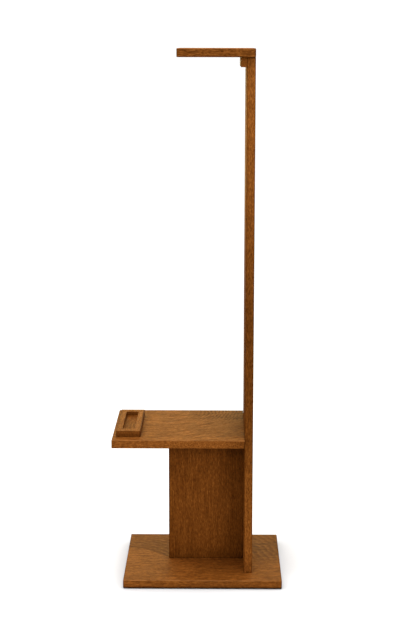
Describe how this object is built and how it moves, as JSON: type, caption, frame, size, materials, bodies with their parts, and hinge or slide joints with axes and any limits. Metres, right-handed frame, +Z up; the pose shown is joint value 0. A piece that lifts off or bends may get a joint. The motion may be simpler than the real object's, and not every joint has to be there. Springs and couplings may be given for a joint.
{
  "type": "wooden valet stand",
  "caption": "Free-standing board-built wooden stand: base plate, upright board, pedestal panel, cantilevered shelf with a recessed tray, and a flat arm at the top.",
  "frame": {"origin": "on the floor, in the middle of the stand's outline seen from above", "axes": "+Z up along the upright, +X to the right, from the shelf towards the upright, -Y towards the front; the boards are symmetric about the plane y = 0"},
  "size_m": [0.363, 0.29, 1.138],
  "materials": {
    "hardwood": "satin oiled hardwood, mid brown, fine straight grain with some wavy figure",
    "dowel_wood": "plain pale hardwood",
    "screw_steel": "bright zinc-plated steel",
    "felt": "dark brown pressed felt"
  },
  "bodies": {
    "root": {"base_plate": "hardwood", "pedestal_panel": "hardwood", "upright_post": "hardwood", "shelf": "hardwood", "tray": "hardwood", "top_arm": "hardwood", "arm_cleat": "hardwood", "joint_dowels": "dowel_wood", "base_screws": "screw_steel", "small_screws": "screw_steel", "felt_pads": "felt"}
  },
  "joints": []
}
